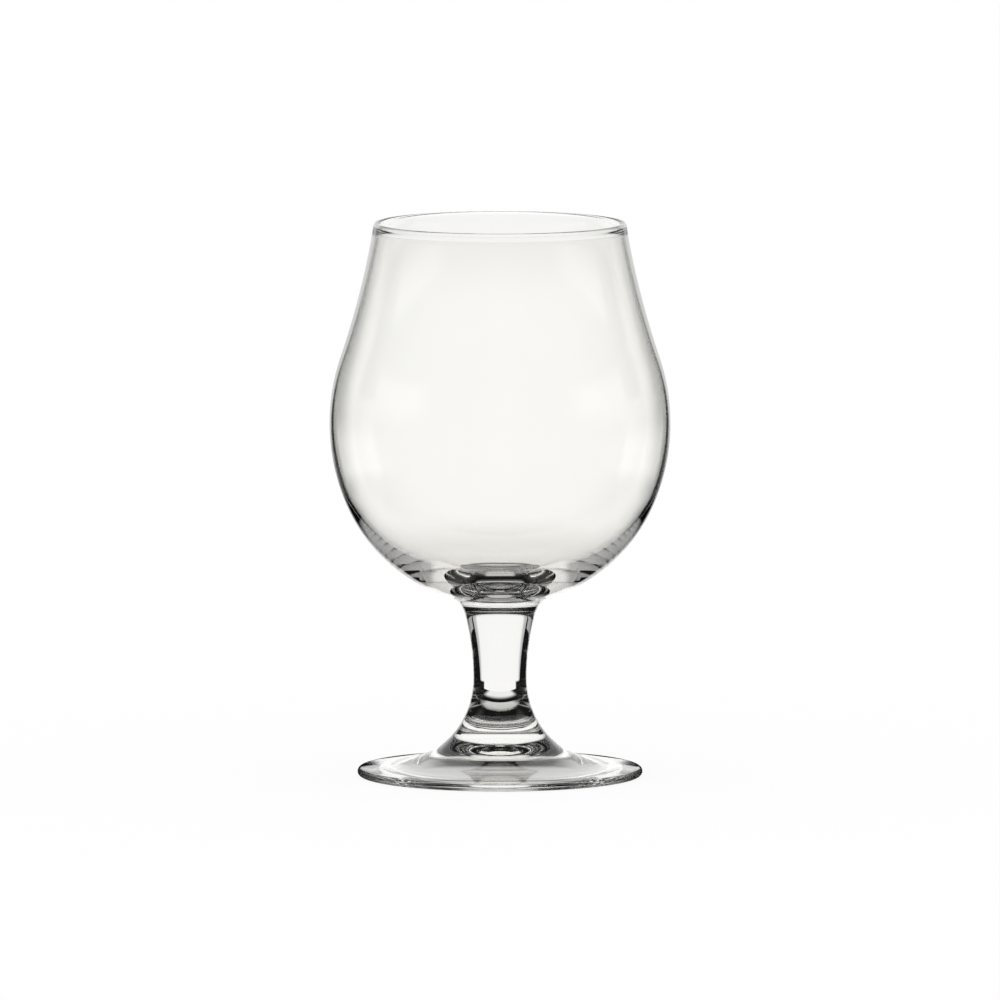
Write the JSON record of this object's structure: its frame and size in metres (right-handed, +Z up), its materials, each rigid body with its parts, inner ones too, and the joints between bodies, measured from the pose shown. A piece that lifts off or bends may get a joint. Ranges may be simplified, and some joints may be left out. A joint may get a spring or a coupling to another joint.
{
  "type": "tulip beer glass",
  "caption": "Clear footed beer glass with a round tulip bowl that narrows and flares to a rounded rim, a solid waisted stem and a slim disc foot.",
  "frame": {"origin": "on the axis, at the level of the flat ring under the foot that the glass stands on", "axes": "+Z up along the axis of the glass, out of its mouth; the glass is round, so +X and +Y may point anywhere across it"},
  "size_m": [0.092, 0.092, 0.15],
  "materials": {
    "bowl_glass": "clear, fire-polished",
    "stem_glass": "clear, fire-polished",
    "foot_glass": "clear, pressed and fire-polished"
  },
  "bodies": {
    "root": {"bowl": "bowl_glass", "stem": "stem_glass", "foot": "foot_glass"}
  },
  "joints": []
}
